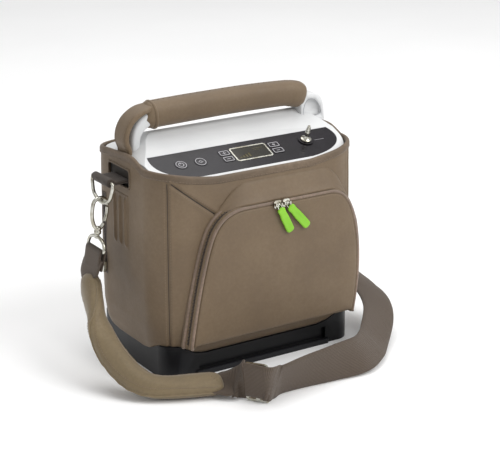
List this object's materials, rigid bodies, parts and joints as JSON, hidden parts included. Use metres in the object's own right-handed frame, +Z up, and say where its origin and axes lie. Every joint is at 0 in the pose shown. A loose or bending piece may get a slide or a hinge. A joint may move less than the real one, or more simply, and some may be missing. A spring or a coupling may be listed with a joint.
{
  "type": "oxygen concentrator",
  "caption": "Portable oxygen concentrator in a soft carry case with a padded handle, sloping control panel, barbed outlet, zipped front pocket and shoulder strap.",
  "frame": {"origin": "middle of the base, on the surface that the case stands on", "axes": "+X to the right, -Y out of the front, +Z up"},
  "size_m": [0.4051, 0.2783, 0.3075],
  "materials": {
    "case_fabric": "soft-touch laminate, matt",
    "trim_fabric": "bound edges and tapes, matt",
    "pad_fabric": "padded soft-touch laminate",
    "webbing": "woven webbing",
    "base_plastic": "semi-gloss moulding",
    "white_plastic": "satin moulding",
    "panel_gloss": "glossy overlay",
    "key_gloss": "glossy key cap with a pale outline",
    "screen": "dark display window",
    "metal": "nickel plated",
    "pull_rubber": "moulded green rubber",
    "inner_plastic": "moulded inner parts",
    "black_plastic": "moulded",
    "alloy": "cast and drawn alloy",
    "board": "circuit board",
    "foam": "open foam filter in a rubber frame"
  },
  "bodies": {
    "case": {"bag_shell": "case_fabric", "rim_binding": "trim_fabric", "side_vent_left": "trim_fabric", "side_vent_right": "trim_fabric", "side_zip_tape": "trim_fabric", "pocket_gusset": "trim_fabric", "ring_anchor_left": "trim_fabric", "ring_anchor_right": "trim_fabric", "base_tray": "base_plastic", "lcd_frame": "metal", "cannula_barb": "metal", "swivel_eye_left": "metal", "swivel_eye_right": "metal", "tri_glide": "metal", "rear_vent": "black_plastic", "fan_housing": "black_plastic", "dc_inlet": "black_plastic", "top_housing": "white_plastic", "handle": "white_plastic", "product_tank": "white_plastic", "handle_sleeve": "pad_fabric", "shoulder_pad": "pad_fabric", "control_panel": "panel_gloss", "barb_seat": "panel_gloss", "lcd_window": "screen", "inner_housing_front": "inner_plastic", "inner_housing_rear": "inner_plastic", "compressor": "alloy", "sieve_bed_left": "alloy", "sieve_bed_right": "alloy", "valve_manifold": "alloy", "main_board": "board", "strap_upper": "webbing", "strap_lower": "webbing", "strap_long": "webbing"},
    "power_button": {"power_button": "key_gloss"},
    "mute_button": {"mute_button": "key_gloss"},
    "mode_up_key": {"mode_up_key": "key_gloss"},
    "mode_down_key": {"mode_down_key": "key_gloss"},
    "flow_up_key": {"flow_up_key": "key_gloss"},
    "flow_down_key": {"flow_down_key": "key_gloss"},
    "pocket_flap": {"pocket_flap": "case_fabric"},
    "zip_slider_left": {"zip_slider_left": "metal"},
    "zip_slider_right": {"zip_slider_right": "metal"},
    "zip_pull_left": {"zip_pull_left": "pull_rubber"},
    "zip_pull_right": {"zip_pull_right": "pull_rubber"},
    "d_ring_left": {"d_ring_left": "metal"},
    "d_ring_right": {"d_ring_right": "metal"},
    "snap_hook_left": {"snap_hook_left": "metal"},
    "snap_hook_right": {"snap_hook_right": "metal"},
    "hook_gate_left": {"hook_gate_left": "metal"},
    "hook_gate_right": {"hook_gate_right": "metal"},
    "battery_pack": {"battery_pack": "black_plastic"},
    "fan_impeller": {"fan_impeller": "inner_plastic"},
    "intake_filter": {"intake_filter": "foam"},
    "side_zip_slider": {"side_zip_slider": "metal"}
  },
  "joints": [
    {"name": "power_press", "type": "slide", "parent": "case", "child": "power_button", "axis": [0, 0.3714, -0.9285], "range_m": [0, 0.0006], "stiffness_N_per_m": 400},
    {"name": "mute_press", "type": "slide", "parent": "case", "child": "mute_button", "axis": [0, 0.3714, -0.9285], "range_m": [0, 0.0006], "stiffness_N_per_m": 400},
    {"name": "mode_up_press", "type": "slide", "parent": "case", "child": "mode_up_key", "axis": [0, 0.3714, -0.9285], "range_m": [0, 0.0006], "stiffness_N_per_m": 400},
    {"name": "mode_down_press", "type": "slide", "parent": "case", "child": "mode_down_key", "axis": [0, 0.3714, -0.9285], "range_m": [0, 0.0006], "stiffness_N_per_m": 400},
    {"name": "flow_up_press", "type": "slide", "parent": "case", "child": "flow_up_key", "axis": [0, 0.3714, -0.9285], "range_m": [0, 0.0006], "stiffness_N_per_m": 400},
    {"name": "flow_down_press", "type": "slide", "parent": "case", "child": "flow_down_key", "axis": [0, 0.3714, -0.9285], "range_m": [0, 0.0006], "stiffness_N_per_m": 400},
    {"name": "pocket_open", "type": "hinge", "parent": "case", "child": "pocket_flap", "pos_m": [0.008, -0.099, 0.0446], "axis": [1, 0, 0], "range_deg": [0, 70]},
    {"name": "zip_left_slide", "type": "slide", "parent": "pocket_flap", "child": "zip_slider_left", "axis": [-1, 0, 0], "range_m": [0, 0.034]},
    {"name": "zip_pull_left_lift", "type": "hinge", "parent": "zip_slider_left", "child": "zip_pull_left", "pos_m": [0.007, -0.1037, 0.196], "axis": [-1, 0, 0], "range_deg": [0, 150]},
    {"name": "zip_right_slide", "type": "slide", "parent": "pocket_flap", "child": "zip_slider_right", "axis": [1, 0, 0], "range_m": [0, 0.045]},
    {"name": "zip_pull_right_lift", "type": "hinge", "parent": "zip_slider_right", "child": "zip_pull_right", "pos_m": [0.0185, -0.1037, 0.196], "axis": [-1, 0, 0], "range_deg": [0, 150]},
    {"name": "ring_left_swing", "type": "hinge", "parent": "case", "child": "d_ring_left", "pos_m": [-0.157, 0.008, 0.224], "axis": [0, 1, 0], "range_deg": [-1, 4]},
    {"name": "hook_left_swivel", "type": "hinge", "parent": "case", "child": "snap_hook_left", "pos_m": [-0.16542, 0.008, 0.16517], "axis": [0.1356, 0, 0.9908], "range_deg": [-20, 20]},
    {"name": "gate_left_open", "type": "hinge", "parent": "snap_hook_left", "child": "hook_gate_left", "pos_m": [-0.15574, 0.008, 0.17394], "axis": [0, -1, 0], "range_deg": [0, 16], "stiffness_Nm_per_rad": 0.02},
    {"name": "ring_right_swing", "type": "hinge", "parent": "case", "child": "d_ring_right", "pos_m": [0.157, 0.008, 0.224], "axis": [0, 1, 0], "range_deg": [-4, 1]},
    {"name": "hook_right_swivel", "type": "hinge", "parent": "case", "child": "snap_hook_right", "pos_m": [0.16542, 0.008, 0.16517], "axis": [-0.1356, 0, 0.9908], "range_deg": [-20, 20]},
    {"name": "gate_right_open", "type": "hinge", "parent": "snap_hook_right", "child": "hook_gate_right", "pos_m": [0.15574, 0.008, 0.17394], "axis": [0, 1, 0], "range_deg": [0, 16], "stiffness_Nm_per_rad": 0.02},
    {"name": "battery_lift", "type": "slide", "parent": "case", "child": "battery_pack", "axis": [0, 0, 1], "range_m": [0, 0.18]},
    {"name": "fan_spin", "type": "hinge", "parent": "case", "child": "fan_impeller", "pos_m": [0.092, 0.056, 0.086], "axis": [0, 1, 0], "continuous": true},
    {"name": "filter_slide", "type": "slide", "parent": "case", "child": "intake_filter", "axis": [0, 1, 0], "range_m": [0, 0.03]},
    {"name": "side_zip_slide", "type": "slide", "parent": "case", "child": "side_zip_slider", "axis": [0, 0, 1], "range_m": [0, 0.07]}
  ]
}
